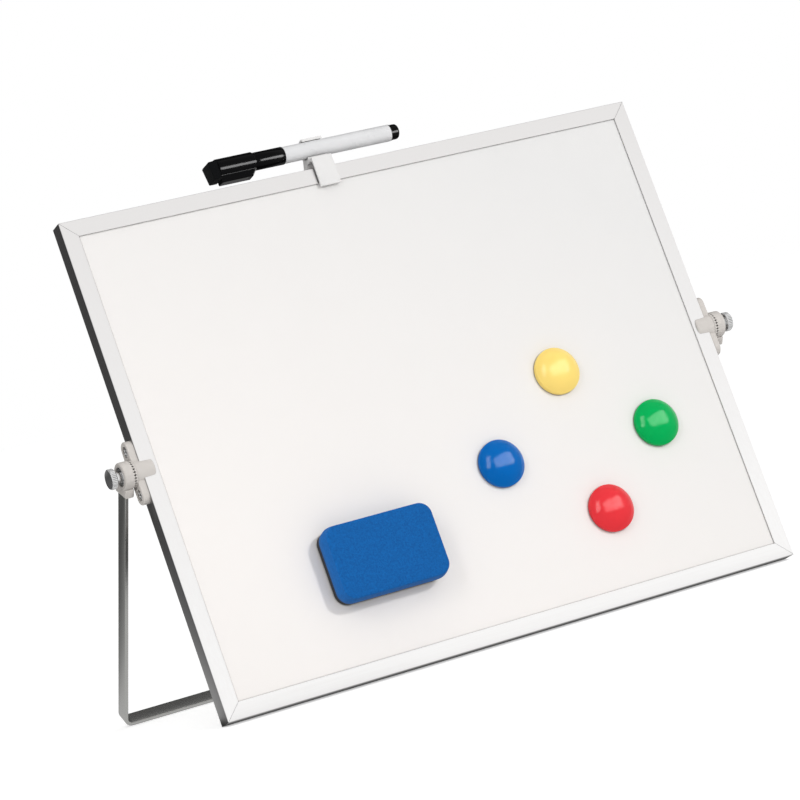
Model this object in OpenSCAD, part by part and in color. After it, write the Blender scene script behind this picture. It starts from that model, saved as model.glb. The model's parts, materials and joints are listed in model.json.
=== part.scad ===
// Magnetic desk whiteboard easel: a framed double-sided board that tilts on
// two toothed hinges in a U-shaped strip stand, with a marker in a rail clip,
// a foam eraser and four magnets.
// X runs along the board, +Y is behind it and +Z is up. The origin is on the
// table, under the middle of the whole object. Millimetres.

/* [Board] */
// Outer width of the framed board
board_w = 355.6; // [250:0.1:450]
// Outer height of the framed board
board_h = 279.4; // [220:0.1:340]
// Thickness of the frame, front to back
board_t = 10.3; // [9:0.1:12]
// How far the board leans back from upright at rest
board_lean = 14.4; // [10:0.1:28]

/* [Frame rails] */
// Width of a rail as seen from the front
rail_face = 9; // [8:0.1:12]
// Wall of the rail extrusion
rail_wall = 1; // [0.8:0.1:1.3]
// Inside width of the hollow chamber along the outer wall
chamber_w = 3.2; // [2.8:0.1:4]
// Thickness of the inner rib that stops the panel
rib_t = 0.8; // [0.6:0.1:1]
// Radius on the rail's corners
rail_round = 0.6; // [0.3:0.1:0.9]
// Gap left in each mitred corner
mitre_gap = 0.1; // [0.05:0.05:0.3]
// Length of each arm of a corner key
key_arm = 22; // [12:1:40]

/* [Panel] */
// Thickness of each steel writing sheet
sheet_t = 0.35; // [0.25:0.05:0.6]
// Gap between the panel's edge and the rib
panel_gap = 0.3; // [0.2:0.1:0.6]

/* [Hinge, board side] */
// Thickness of the pivot plate on the side of the frame
plate_t = 4; // [3.5:0.1:5]
// Length of the pivot plate
plate_l = 35; // [32:0.5:44]
// Width of the pivot plate
plate_w = 9; // [8:0.1:10]
// Distance between the two plate screws
plate_screw_pitch = 24; // [22:0.5:26]
// Radius of the pivot barrel where it grips the frame
barrel_r = 6.9; // [6.7:0.1:8]
// How far the barrel reaches in over the frame
barrel_in = 7.3; // [5:0.1:8]
// Radius of the toothed flange
flange_r = 7.3; // [7.1:0.1:9]
// Distance from the frame's side to the tips of the teeth
flange_len = 4.85; // [4.6:0.05:6]
// Number of teeth, an even number
tooth_n = 28; // [20:2:36]
// Depth of the teeth
tooth_depth = 0.9; // [0.5:0.1:1]

/* [Hinge, stand side] */
// Radius of the knuckle's round boss
boss_r = 7.5; // [7:0.1:9]
// Thickness of the knuckle, teeth included
knuckle_t = 5.9; // [5.6:0.1:8]
// Half the width of the socket that holds the strip
socket_half = 6.3; // [5.6:0.1:8]
// Length of the socket below the hinge axis
socket_len = 12; // [10:0.5:18]
// Depth of the recess round the washer, down to the strip
recess_depth = 1.1; // [1:0.1:1.5]
// Radius of the recess round the washer
recess_r = 5.1; // [5:0.1:5.8]

/* [Stand] */
// Width of the flat steel strip
bar_w = 8.5; // [7:0.1:10]
// Thickness of the flat steel strip
bar_t = 2; // [1.5:0.1:2.4]
// Outer radius of the strip's two bends
bend_r = 5; // [4:0.5:14]
// Room between the board's edge and the crossbar when the board swings through
swing_gap = 17.5; // [6:0.1:30]

/* [Thumbscrews] */
// Radius of the screw's thread
screw_r = 2; // [1.8:0.1:2.3]
// Radius of the knurled head
knob_r = 5.5; // [5:0.1:8]
// Thickness of the knurled head
knob_t = 3.3; // [2.5:0.1:5]
// Radius of the neck under the head
neck_r = 3.1; // [2.8:0.1:4]
// Length of the neck, from the washer to the head
neck_len = 3.4; // [2.6:0.1:6]
// Radius of the washer
washer_r = 4.6; // [4.2:0.1:4.8]
// Thickness of the washer
washer_t = 0.8; // [0.6:0.1:1]
// Number of grooves in the head's knurl
knurl_n = 32; // [20:1:40]

/* [Marker] */
// Radius of the barrel
marker_r = 4.7; // [4.4:0.1:5]
// Length of the white barrel that shows
marker_body_l = 66.9; // [50:0.1:90]
// Radius of the cap's round part
cap_r = 5; // [4.9:0.1:5.4]
// Length of the cap's round part
cap_round_l = 17.7; // [17:0.1:26]
// Length of the cap's thick part
cap_thick_l = 22.3; // [18:0.1:28]
// Radius of the cap's thick part
cap_thick_r = 5.6; // [5.4:0.1:6]
// Length of the wiping felt on the end of the cap
wiper_l = 5.8; // [5:0.1:12]
// How far the magnet keel reaches below the marker's axis
keel_drop = 8.7; // [8.4:0.1:9.8]
// Length of the black plug that shows
plug_l = 5.4; // [4:0.1:8]
// Radius of the black plug
plug_r = 4; // [3.5:0.1:4.2]
// Place of the joint between cap and barrel along the board
marker_x = -37.9; // [-60:0.1:0]

/* [Clip] */
// Width of the clip along the rail
clip_w = 12.4; // [9:0.1:18]
// Middle of the clip along the rail
clip_x = -18.4; // [-24:0.1:10]
// Wall of the clip
clip_t = 1.5; // [1.2:0.1:2]
// Height of the marker's axis above the top rail
marker_rise = 12.05; // [11.2:0.05:14]
// How far the marker's axis lies in front of the middle of the frame
marker_fore = 1.15; // [0.5:0.05:1.5]
// How far the front band reaches down the face of the board
band_drop = 10.7; // [9.5:0.1:14]
// Gap between the front band and the frame
band_gap = 0.8; // [0.5:0.1:1.2]
// How far the lip over the marker reaches in front of its axis
lip_fore = 2; // [0:0.1:3]

/* [Eraser] */
// Length of the eraser
eraser_w = 63.7; // [45:0.1:80]
// Height of the eraser as it sits on the board
eraser_l = 40.8; // [30:0.1:55]
// Total thickness of the eraser
eraser_t = 15.5; // [14:0.5:26]
// Thickness of the black felt
felt_t = 3.5; // [1.5:0.1:4]
// Corner radius of the eraser
eraser_round = 7; // [4:0.5:12]
// Middle of the eraser along the board
eraser_x = -65.9; // [-90:0.1:-50]
// Middle of the eraser below the board's middle
eraser_z = -78; // [-84:0.1:-40]

/* [Magnets] */
// Radius of a magnet's plastic cap
magnet_r = 13.4; // [11:0.1:15]
// Height of a magnet's plastic cap
magnet_t = 9.6; // [7.5:0.1:11]
// Height of the straight edge round the cap
magnet_edge = 3.2; // [1.8:0.1:3.6]
// Radius of the ferrite disc inside
disc_r = 9; // [6:0.1:9.5]
// Thickness of the ferrite disc
disc_t = 3.4; // [2.5:0.1:3.6]

/* [Clearances] */
// Radial clearance of the thumbscrew in its holes
pin_gap = 0.06; // [0.03:0.01:0.1]
// Gap between the two rings of teeth with the screws eased
tooth_gap = 0.3; // [0.2:0.05:0.5]
// Gap round parts that are fitted into pockets
fit_gap = 0.05; // [0.03:0.01:0.1]
// Gap under pieces that magnetism holds on the board
seat_gap = 0.1; // [0.05:0.05:0.3]

/* [Hidden] */
$fn = 64;

half_w = board_w / 2;
half_h = board_h / 2;
half_t = board_t / 2;

// How the board and the stand lean so that both touch the table
axis_h = half_h * cos(board_lean) + half_t * sin(board_lean);
leg_len = half_h + swing_gap + bar_t;
leg_splay = acos(axis_h / norm([leg_len, bar_w / 2])) + atan(bar_w / 2 / leg_len);

// Panel inside the frame
rib_in = rail_wall + chamber_w + rib_t;
panel_in = rib_in + panel_gap;
face_y = -half_t + rail_wall;
core_t = board_t - 2 * rail_wall - 2 * sheet_t;
key_gap = 0.2;
key_t = chamber_w - 2 * key_gap;
key_w = board_t - 2 * rail_wall - 2 * key_gap;

// Hinge, measured out from the frame's side
knuckle_in = flange_len + tooth_gap;
knuckle_out = knuckle_in + knuckle_t;
strip_out = knuckle_out - recess_depth;
strip_in = strip_out - bar_t;
hub_r = 4.2;
hub_depth = tooth_depth + 0.1;
insert_r = 3.2;
insert_top = flange_len - hub_depth;
tooth_w = 2 * PI * flange_r / tooth_n * 0.8;
flange_t = 1.5;
barrel_round = 1.5;
barrel_taper = 0.2;
boss_round = 1;
plate_round = 0.6;
socket_round = 1;
socket_slant = 1.4;
socket_skin = 0.35;

// Plate screws
plate_screw_r = 1.3;
plate_head_r = 2.6;
plate_head_t = 1.3;
plate_well_r = 3.1;
plate_well = 1.6;
plate_screw_tip = rib_in - 0.4;

// Thumbscrews
knob_in = strip_out + washer_t + neck_len;
knob_out = knob_in + knob_t;
screw_tip = 0.3;
knob_chamfer = 0.5;
knurl_depth = 0.45;

// Marker, measured along the board
marker_z = half_h + marker_rise;
marker_y = -marker_fore;
body_end = marker_x + marker_body_l;
cap_waist = 0.8;
thick_in = marker_x - cap_round_l - cap_waist;
thick_out = thick_in - cap_thick_l;
keel_w = 6.4;
keel_slope = 3.6;
keel_inset = 0.3;
keel_magnet_t = 2.6;
nib_reach = 17;
neck_reach = 10;
spigot_r = 3.7;
cap_wall = 0.9;
shell_in_r = 3.6;
reservoir_r = 3.5;
plug_rim = 0.5;
plug_round = 1.6;

// Clip
trough_in = marker_r + 0.3;
trough_out = trough_in + clip_t;
band_top = half_h + 5.8;
rear_drop = 8;
rear_gap = 0.15;

// Magnets: name, place along the board, place up the board, colour
magnets = [
    ["yellow", 74.9, -4.6, "gold"],
    ["green", 123.3, -47, "green"],
    ["blue", 22.3, -46.6, "royalblue"],
    ["red", 77.2, -86.6, "crimson"]
];

// Where the whole object starts and ends, front to back, about the hinge axis
function turned_y(y, z, a) = y * cos(a) - z * sin(a);
lowest_magnet = min([for (m = magnets) m[2]]) - magnet_r;
front_y = min(
    turned_y(face_y - seat_gap - eraser_t, eraser_z - eraser_l / 2, -board_lean),
    turned_y(face_y - seat_gap - magnet_edge, lowest_magnet, -board_lean),
    turned_y(-half_t, -half_h, -board_lean)
);
rear_y = turned_y(bar_w / 2, -leg_len, leg_splay);
axis_y = -(front_y + rear_y) / 2;

// Frames of reference
module on_board() {
    translate([0, axis_y, axis_h]) rotate([-board_lean, 0, 0]) children();
}
module on_stand() {
    translate([0, axis_y, axis_h]) rotate([leg_splay, 0, 0]) children();
}
// Measures X outwards from the side of the frame; side is 1 right, -1 left
module at_side(side) {
    mirror([side < 0 ? 1 : 0, 0, 0]) translate([half_w, 0, 0]) children();
}
// Places a flat drawing of depth and height, and runs it along X
module along_x(x, length) {
    translate([x, 0, 0]) rotate([90, 0, 90]) linear_extrude(length) children();
}
// Turns a profile of radius and distance about the X axis
module round_x(points) {
    rotate([0, 90, 0]) rotate_extrude() polygon(points);
}
module rod_x(x, length, r) {
    translate([x, 0, 0]) rotate([0, 90, 0]) cylinder(h = length, r = r);
}
function arc(cx, cy, r, a0, a1, n = 6) =
    [for (i = [0:n]) let (a = a0 + (a1 - a0) * i / n) [cx + r * cos(a), cy + r * sin(a)]];

// Flat drawings
module round_rect(w, h, r) {
    square([w - 2 * r, h], center = true);
    square([w, h - 2 * r], center = true);
    for (x = [-1, 1], y = [-1, 1]) {
        translate([x * (w / 2 - r), y * (h / 2 - r)]) circle(r);
    }
}

// Frame: one mitred length of the hollow extrusion, its outside facing +Z
module rail_section() {
    slot_t = board_t - 2 * rail_wall;
    difference() {
        translate([0, -rail_face / 2]) round_rect(board_t, rail_face, rail_round);
        translate([-slot_t / 2, -rail_wall - chamber_w]) square([slot_t, chamber_w]);
        translate([-slot_t / 2, -rail_face - 1]) square([slot_t, rail_face + 1 - rib_in]);
    }
}
module rail(length, pilots = false) {
    end = length / 2 - mitre_gap / 2;
    deep = rail_face + 1;
    color("silver") difference() {
        intersection() {
            along_x(-length / 2, length) rail_section();
            rotate([90, 0, 0]) linear_extrude(board_t + 2, center = true)
                polygon([[-end - 1, 1], [end + 1, 1], [end - deep, -deep], [deep - end, -deep]]);
        }
        if (pilots) {
            for (s = [-1, 1]) {
                translate([s * plate_screw_pitch / 2, 0, -rib_in - 1])
                    cylinder(h = rib_in + 2, r = plate_screw_r + fit_gap);
            }
        }
    }
}
module top_rail() {
    on_board() translate([0, 0, half_h]) rail(board_w);
}
module bottom_rail() {
    on_board() translate([0, 0, -half_h]) rotate([0, 180, 0]) rail(board_w);
}
module left_rail() {
    on_board() translate([-half_w, 0, 0]) rotate([0, -90, 0]) rail(board_h, pilots = true);
}
module right_rail() {
    on_board() translate([half_w, 0, 0]) rotate([0, 90, 0]) rail(board_h, pilots = true);
}

// L-shaped keys that hold the mitred corners together
module corner_key() {
    near = rail_wall + key_gap;
    translate([-near - key_arm, -key_w / 2, -near - key_t]) cube([key_arm, key_w, key_t]);
    translate([-near - key_t, -key_w / 2, -near - key_arm]) cube([key_t, key_w, key_arm]);
}
module corner_keys() {
    on_board() color("dimgray") for (sx = [0, 1], sz = [0, 1]) {
        mirror([sx, 0, 0]) mirror([0, 0, sz]) translate([half_w, 0, half_h]) corner_key();
    }
}

// Panel: two enamelled sheets on a core
module panel_layer(y, t) {
    w = board_w - 2 * panel_in;
    h = board_h - 2 * panel_in;
    translate([-w / 2, y, -h / 2]) cube([w, t, h]);
}
module front_writing_sheet() {
    on_board() color("white") panel_layer(face_y, sheet_t);
}
module core_panel() {
    on_board() color("burlywood") panel_layer(face_y + sheet_t, core_t);
}
module rear_writing_sheet() {
    on_board() color("whitesmoke") panel_layer(face_y + sheet_t + core_t, sheet_t);
}

// Hinge, board side
module round_disc(r, t, edge) {
    round_x(concat([[0, 0], [r, 0]], arc(r - edge, t - edge, edge, 0, 90, 4), [[0, t]]));
}
module pivot_plate() {
    reach = (plate_l - plate_w) / 2;
    hull() for (s = [-1, 1]) {
        translate([0, 0, s * reach]) round_disc(plate_w / 2, plate_t, plate_round, $fn = 32);
    }
}
module tooth_grooves(tip, root) {
    rise = (tip - root) * 0.2;
    wide = tooth_w / 2 * 1.2;
    for (i = [0:tooth_n / 2 - 1]) {
        rotate([(i + 0.5) * 360 / tooth_n, 0, 0])
            linear_extrude(2 * (flange_r + boss_r), center = true)
                polygon([[tip + rise, -wide], [tip + rise, wide], [root, 0]]);
    }
}
module pivot_barrel() {
    shoulder = flange_len - flange_t;
    nose = arc(barrel_r - barrel_taper - barrel_round, barrel_round - barrel_in, barrel_round, -90, 0);
    round_x(concat(
        [[0, -barrel_in]], nose,
        [[barrel_r, 0], [barrel_r, shoulder], [flange_r, shoulder + 0.3],
         [flange_r, flange_len], [0, flange_len]]
    ));
}
module pivot_body() {
    color("lightgray") difference() {
        union() {
            pivot_plate();
            pivot_barrel();
        }
        translate([-barrel_in - 1, -half_t - fit_gap, -barrel_r - 1])
            cube([barrel_in + 1, board_t + 2 * fit_gap, 2 * barrel_r + 2]);
        tooth_grooves(flange_len, flange_len - tooth_depth);
        rod_x(insert_top, hub_depth + 1, hub_r);
        rod_x(-1, insert_top + 2, insert_r);
        for (s = [-1, 1]) {
            translate([0, 0, s * plate_screw_pitch / 2]) {
                rod_x(-1, plate_t + 2, plate_screw_r + fit_gap);
                rod_x(plate_t - plate_well, plate_well + 1, plate_well_r);
            }
        }
    }
}
module left_pivot_body() {
    on_board() at_side(-1) pivot_body();
}
module right_pivot_body() {
    on_board() at_side(1) pivot_body();
}
module pivot_screws() {
    seat = plate_t - plate_well;
    on_board() color("gray") for (side = [-1, 1], s = [-1, 1]) {
        at_side(side) translate([0, 0, s * plate_screw_pitch / 2]) difference() {
            round_x(concat(
                [[0, -plate_screw_tip], [0.4, -plate_screw_tip], [plate_screw_r, 1.6 - plate_screw_tip],
                 [plate_screw_r, seat], [plate_head_r, seat]],
                arc(plate_head_r - 0.8, seat + plate_head_t - 0.8, 0.8, 0, 90, 4),
                [[0, seat + plate_head_t]]
            ));
            for (a = [0, 90]) {
                rotate([a + 20, 0, 0]) translate([seat + plate_head_t - 0.8, -0.35, -1.5]) cube([1, 0.7, 3]);
            }
        }
    }
}
module threaded_inserts() {
    on_board() color("goldenrod") for (side = [-1, 1]) {
        at_side(side) difference() {
            rod_x(fit_gap, insert_top - fit_gap, insert_r - fit_gap / 2);
            rod_x(-1, insert_top + 2, screw_r + pin_gap);
        }
    }
}

// Hinge, stand side
module socket_block() {
    inner = knuckle_in + socket_skin + socket_round;
    outer = knuckle_out - socket_skin - socket_round;
    reach = socket_half - socket_round;
    hull() for (x = [inner, outer], s = [-1, 1]) {
        translate([x, s * reach, 0]) sphere(socket_round, $fn = 24);
        translate([x, s * reach, -socket_len + socket_round + (s < 0 ? socket_slant : 0)])
            sphere(socket_round, $fn = 24);
    }
}
module strip_pocket() {
    gap = fit_gap;
    translate([strip_in - gap, -bar_w / 2 - gap, -socket_len - 1])
        cube([bar_t + 2 * gap, bar_w + 2 * gap, socket_len + 1]);
    rod_x(strip_in - gap, bar_t + 2 * gap, bar_w / 2 + gap);
}
module knuckle() {
    color("lightgray") difference() {
        union() {
            round_x(concat(
                [[0, knuckle_in], [boss_r - 0.2, knuckle_in], [boss_r, knuckle_in + tooth_depth]],
                arc(boss_r - boss_round, knuckle_out - boss_round, boss_round, 0, 90),
                [[0, knuckle_out]]
            ));
            socket_block();
        }
        tooth_grooves(knuckle_in, knuckle_in + tooth_depth);
        rod_x(knuckle_in - 1, hub_depth + 1, hub_r);
        rod_x(strip_out, recess_depth + 1, recess_r);
        rod_x(0, knuckle_out + 1, screw_r + pin_gap);
        strip_pocket();
    }
}
module left_knuckle() {
    on_stand() at_side(-1) knuckle();
}
module right_knuckle() {
    on_stand() at_side(1) knuckle();
}

// Stand: one flat strip bent to a U, with a hole at each end
module strip_section() {
    round_rect(bar_t, bar_w, bar_t * 0.25);
}
module strip_half() {
    leg_l = leg_len - bend_r;
    mid = half_w + strip_out - bar_t / 2;
    difference() {
        union() {
            translate([mid, 0, -leg_l]) linear_extrude(leg_l) strip_section();
            translate([half_w + strip_in, 0, 0]) rod_x(0, bar_t, bar_w / 2);
        }
        translate([half_w + strip_in - 1, 0, 0]) rod_x(0, bar_t + 2, screw_r + pin_gap);
    }
    translate([half_w + strip_out - bend_r, 0, -leg_l]) rotate([-90, 0, 0])
        rotate_extrude(angle = 90) translate([bend_r - bar_t / 2, 0]) strip_section();
    translate([0, 0, -leg_len + bar_t / 2]) rotate([90, 0, 90])
        linear_extrude(half_w + strip_out - bend_r) rotate(90) strip_section();
}
module stand_strip() {
    on_stand() color("darkgray") {
        strip_half();
        mirror([1, 0, 0]) strip_half();
    }
}

// Thumbscrews and their washers
module washer() {
    color("gainsboro") difference() {
        rod_x(strip_out, washer_t, washer_r);
        rod_x(strip_out - 1, washer_t + 2, screw_r + pin_gap);
    }
}
module thumbscrew() {
    neck_in = strip_out + washer_t;
    color("lightsteelblue") difference() {
        round_x([
            [0, screw_tip], [screw_r - 0.5, screw_tip], [screw_r, screw_tip + 0.5],
            [screw_r, neck_in], [neck_r, neck_in], [neck_r, knob_in],
            [knob_r - knob_chamfer, knob_in], [knob_r, knob_in + knob_chamfer],
            [knob_r, knob_out - knob_chamfer], [knob_r - knob_chamfer, knob_out], [0, knob_out]
        ]);
        for (i = [0:knurl_n - 1]) {
            rotate([i * 360 / knurl_n, 0, 0]) translate([knob_in - 1, knob_r + 0.05, 0])
                rotate([45, 0, 0]) cube([knob_t + 2, knurl_depth, knurl_depth]);
        }
    }
}
module left_washer() {
    on_board() at_side(-1) washer();
}
module right_washer() {
    on_board() at_side(1) washer();
}
module left_thumbscrew() {
    on_board() at_side(-1) thumbscrew();
}
module right_thumbscrew() {
    on_board() at_side(1) thumbscrew();
}

// Clip that straddles the top rail and cradles the marker
module clip_profile() {
    band_y = -half_t - band_gap;
    rear_y_in = half_t + rear_gap;
    difference() {
        union() {
            translate([marker_y, marker_z]) circle(trough_out);
            translate([band_y - clip_t, half_h - band_drop]) square([clip_t, band_top - half_h + band_drop]);
            translate([band_y - clip_t, band_top - clip_t]) square([marker_y - band_y + clip_t, clip_t]);
            translate([rear_y_in, half_h - rear_drop]) square([clip_t, rear_drop + marker_rise - trough_in]);
            translate([marker_y, half_h + rear_gap])
                square([rear_y_in + clip_t - marker_y, clip_t]);
            translate([marker_y - clip_t / 2, half_h + rear_gap])
                square([clip_t, marker_rise - trough_in]);
        }
        translate([marker_y, marker_z]) circle(trough_in);
        translate([marker_y - trough_out - 5, band_top]) square([trough_out + 5 - lip_fore, 20]);
    }
    translate([band_y - clip_t / 2, half_h - band_drop]) circle(clip_t / 2);
    translate([band_y, half_h - band_drop + 1.2]) circle(band_gap - 0.2);
}
module marker_clip() {
    on_board() color("white") along_x(clip_x - clip_w / 2, clip_w) clip_profile();
}

// Marker
module at_marker() {
    on_board() translate([0, marker_y, marker_z]) children();
}
module marker_barrel() {
    color("white") at_marker() difference() {
        round_x([[0, marker_x], [marker_r, marker_x], [marker_r, body_end - 0.4],
                 [marker_r - 0.3, body_end], [0, body_end]]);
        rod_x(marker_x - 1, marker_body_l + 2, shell_in_r + 0.1);
    }
}
module marker_plug() {
    color("black") at_marker() round_x(concat(
        [[0, body_end - 5], [shell_in_r, body_end - 5], [shell_in_r, body_end],
         [marker_r - 0.1, body_end], [marker_r - 0.1, body_end + plug_rim], [plug_r, body_end + plug_rim]],
        arc(plug_r - plug_round, body_end + plug_l - plug_round, plug_round, 0, 90),
        [[0, body_end + plug_l]]
    ));
}
module ink_reservoir() {
    color("dimgray") at_marker() rod_x(marker_x + 2, marker_body_l - 8, reservoir_r - 0.1);
}
module nib_holder() {
    color("black") at_marker() difference() {
        round_x([
            [0, marker_x - neck_reach], [1.9, marker_x - neck_reach], [3, marker_x - neck_reach + 5],
            [spigot_r, marker_x - 4], [spigot_r, marker_x], [shell_in_r, marker_x],
            [shell_in_r, marker_x + 1.8], [0, marker_x + 1.8]
        ]);
        rod_x(marker_x - neck_reach - 1, neck_reach + 4, 1.25);
    }
}
module marker_nib() {
    color("darkslategray") at_marker() round_x(concat(
        [[0, marker_x - nib_reach]],
        [for (p = arc(0, 0, 1.2, -75, 0)) [p[0], p[1] + marker_x - nib_reach + 1.2]],
        [[1.2, marker_x + 1.8], [0, marker_x + 1.8]]
    ));
}
module cap_outline() {
    round_x([
        [0, thick_out], [cap_thick_r - 0.5, thick_out], [cap_thick_r, thick_out + 0.5],
        [cap_thick_r, thick_in - 0.9], [cap_r - 0.3, thick_in], [cap_r - 0.3, thick_in + cap_waist],
        [cap_r, thick_in + cap_waist + 0.3], [cap_r, marker_x - 0.4],
        [cap_r - 0.3, marker_x - fit_gap], [0, marker_x - fit_gap]
    ]);
}
module marker_cap() {
    bore_r = spigot_r + fit_gap;
    color("black") at_marker() difference() {
        union() {
            cap_outline();
            translate([0, keel_w / 2, 0]) rotate([90, 0, 0]) linear_extrude(keel_w)
                polygon([[thick_out, 0], [thick_out, -keel_drop], [thick_in - keel_slope, -keel_drop],
                         [thick_in, 0.2 - cap_r], [thick_in, 0]]);
        }
        round_x([[0, marker_x - nib_reach - 2.5], [1.6, marker_x - nib_reach - 2.5],
                 [2.4, marker_x - neck_reach - 1], [3.1, marker_x - neck_reach + 4],
                 [bore_r, marker_x - 4 - fit_gap], [bore_r, marker_x + 1], [0, marker_x + 1]]);
        keel_magnet(fit_gap, keel_inset + 1);
    }
}
module keel_magnet(gap = 0, mouth = 0) {
    length = cap_thick_l - keel_slope - 3;
    translate([thick_out + 1.5 - gap, -keel_w / 2 + cap_wall - gap, keel_inset - keel_drop - mouth])
        cube([length + 2 * gap, keel_w - 2 * cap_wall + 2 * gap, keel_magnet_t + gap + mouth]);
}
module cap_magnet() {
    color("dimgray") at_marker() keel_magnet();
}
module cap_wiper() {
    low = 2 - keel_drop;
    top = cap_thick_r - 1.5;
    half = cap_thick_r - 0.6;
    color("black") at_marker() translate([0, half, 0]) rotate([90, 0, 0]) linear_extrude(2 * half)
        polygon([[thick_out, low], [thick_out, top], [thick_out - wiper_l + 0.8, top - 0.4],
                 [thick_out - wiper_l, top - 1.2], [thick_out - wiper_l + 1.1, low]]);
}

// Eraser: foam on a magnetic sheet and felt, held on the board
module eraser_outline(inset = 0) {
    round_rect(eraser_w - 2 * inset, eraser_l - 2 * inset, eraser_round - inset);
}
module at_eraser() {
    on_board() translate([eraser_x, face_y - seat_gap, eraser_z]) rotate([90, 0, 0]) children();
}
module eraser_felt() {
    color("black") at_eraser() linear_extrude(felt_t) eraser_outline(0.1);
}
module eraser_sheet(gap = 0) {
    translate([0, 0, felt_t]) linear_extrude(1 + gap) eraser_outline(5 - gap);
}
module eraser_foam() {
    color("royalblue") at_eraser() difference() {
        translate([0, 0, felt_t]) linear_extrude(eraser_t - felt_t) eraser_outline();
        translate([0, 0, -fit_gap]) eraser_sheet(fit_gap);
    }
}
module eraser_magnet() {
    color("dimgray") at_eraser() eraser_sheet();
}

// Magnets: a domed plastic cap over a ferrite disc
module at_magnet(i) {
    on_board() translate([magnets[i][1], face_y - seat_gap, magnets[i][2]]) rotate([90, 0, 0]) children();
}
function dome_r() =
    (pow(magnet_r - 0.6, 2) + pow(magnet_t - magnet_edge, 2)) / (2 * (magnet_t - magnet_edge));
module magnet_cap(i) {
    r = dome_r();
    reach = asin((magnet_r - 0.6) / r);
    color(magnets[i][3]) at_magnet(i) difference() {
        rotate_extrude() polygon(concat(
            [[0, 0], [magnet_r - 0.3, 0], [magnet_r, 0.3], [magnet_r, magnet_edge - 0.5]],
            arc(0, magnet_t - r, r, 90 - reach, 90, 16)
        ));
        translate([0, 0, -1]) cylinder(h = disc_t + 1 + fit_gap, r = disc_r + fit_gap);
    }
}
module magnet_disc(i) {
    color("dimgray") at_magnet(i) cylinder(h = disc_t, r = disc_r);
}

top_rail();
bottom_rail();
left_rail();
right_rail();
corner_keys();
front_writing_sheet();
core_panel();
rear_writing_sheet();
left_pivot_body();
right_pivot_body();
pivot_screws();
threaded_inserts();
stand_strip();
left_knuckle();
right_knuckle();
left_washer();
right_washer();
left_thumbscrew();
right_thumbscrew();
marker_clip();
marker_barrel();
marker_plug();
ink_reservoir();
nib_holder();
marker_nib();
marker_cap();
cap_wiper();
cap_magnet();
eraser_foam();
eraser_felt();
eraser_magnet();
magnet_cap(0);  // yellow_magnet_cap
magnet_cap(1);  // green_magnet_cap
magnet_cap(2);  // blue_magnet_cap
magnet_cap(3);  // red_magnet_cap
magnet_disc(0);  // yellow_magnet_disc
magnet_disc(1);  // green_magnet_disc
magnet_disc(2);  // blue_magnet_disc
magnet_disc(3);  // red_magnet_disc
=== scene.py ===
"""Looks of the magnetic desk whiteboard easel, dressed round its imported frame.

Lengths are in millimetres until a mesh is made. Places come from the CAD nodes, measured along
the axes of the leaning board or of the splayed stand, so that every piece sits where its node is.
A shell is a grid of rings: the rings follow one parameter and the points of a ring the other.
"""
import json
import math

import bpy
import numpy as np
from mathutils import Matrix


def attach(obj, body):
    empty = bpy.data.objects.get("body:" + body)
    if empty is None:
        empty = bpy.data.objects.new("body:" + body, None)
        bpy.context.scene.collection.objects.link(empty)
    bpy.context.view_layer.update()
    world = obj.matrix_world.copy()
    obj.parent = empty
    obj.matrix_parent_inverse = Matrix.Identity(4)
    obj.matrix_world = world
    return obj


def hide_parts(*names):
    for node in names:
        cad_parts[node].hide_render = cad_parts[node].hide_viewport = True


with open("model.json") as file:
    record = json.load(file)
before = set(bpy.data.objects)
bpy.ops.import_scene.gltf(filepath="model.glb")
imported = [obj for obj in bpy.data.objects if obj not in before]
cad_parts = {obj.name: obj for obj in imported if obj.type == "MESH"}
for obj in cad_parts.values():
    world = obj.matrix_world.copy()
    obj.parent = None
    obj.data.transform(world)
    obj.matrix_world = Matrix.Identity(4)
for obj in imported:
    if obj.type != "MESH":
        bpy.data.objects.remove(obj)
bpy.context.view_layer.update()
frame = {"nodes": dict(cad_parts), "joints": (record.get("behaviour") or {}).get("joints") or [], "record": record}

MM = 0.001
FULL_TURN = 2 * math.pi
# Radius at which a turned shape closes on its axis
POLE = 0.05
X, Z = np.eye(3)[[0, 2]]


# Frames of reference

def unit(v):
    """The vector divided by its length."""
    v = np.asarray(v, float)
    return v / np.linalg.norm(v)


joints = {joint["name"]: joint for joint in frame["joints"]}
mounts = {mount["name"]: mount for mount in frame["record"]["mounts"]}
hinge_axis = np.array(joints["board_tilt"]["pos_m"]) / MM


def spot(origin, behind, up):
    """A frame of reference: its origin, and its axes as rows, across, behind and up."""
    return np.asarray(origin, float), np.array([np.cross(behind, up), behind, up])


board_facing = unit(joints["eraser_lift"]["axis"])
board_spot = spot(hinge_axis, -board_facing, np.cross(X, -board_facing))
stand_up = -unit(mounts["crossbar_underside"]["axis"])
stand_spot = spot(hinge_axis, np.cross(stand_up, X), stand_up)


def placed(points, where):
    """Local points in the row frame: the origin plus each coordinate times its axis."""
    origin, axes = where
    return origin + np.asarray(points, float) @ axes


def shifted(where, offset):
    """The same axes with the origin moved by an offset along them."""
    return placed(offset, where), where[1]


def sided(where, side, half):
    """Axes measured outwards from the board's right side (1) or left side (-1)."""
    origin, axes = shifted(where, (side * half, 0, 0))
    return origin, axes * np.array([[side], [1], [1]])


def extent(node, where):
    """Lowest and highest corner of a CAD node along the axes of a frame of reference."""
    mesh = frame["nodes"][node].data
    flat = np.empty(len(mesh.vertices) * 3, np.float32)
    mesh.vertices.foreach_get("co", flat)
    local = (flat.reshape(-1, 3) / MM - where[0]) @ where[1].T
    return local.min(0), local.max(0)


# Outlines and shells

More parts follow.
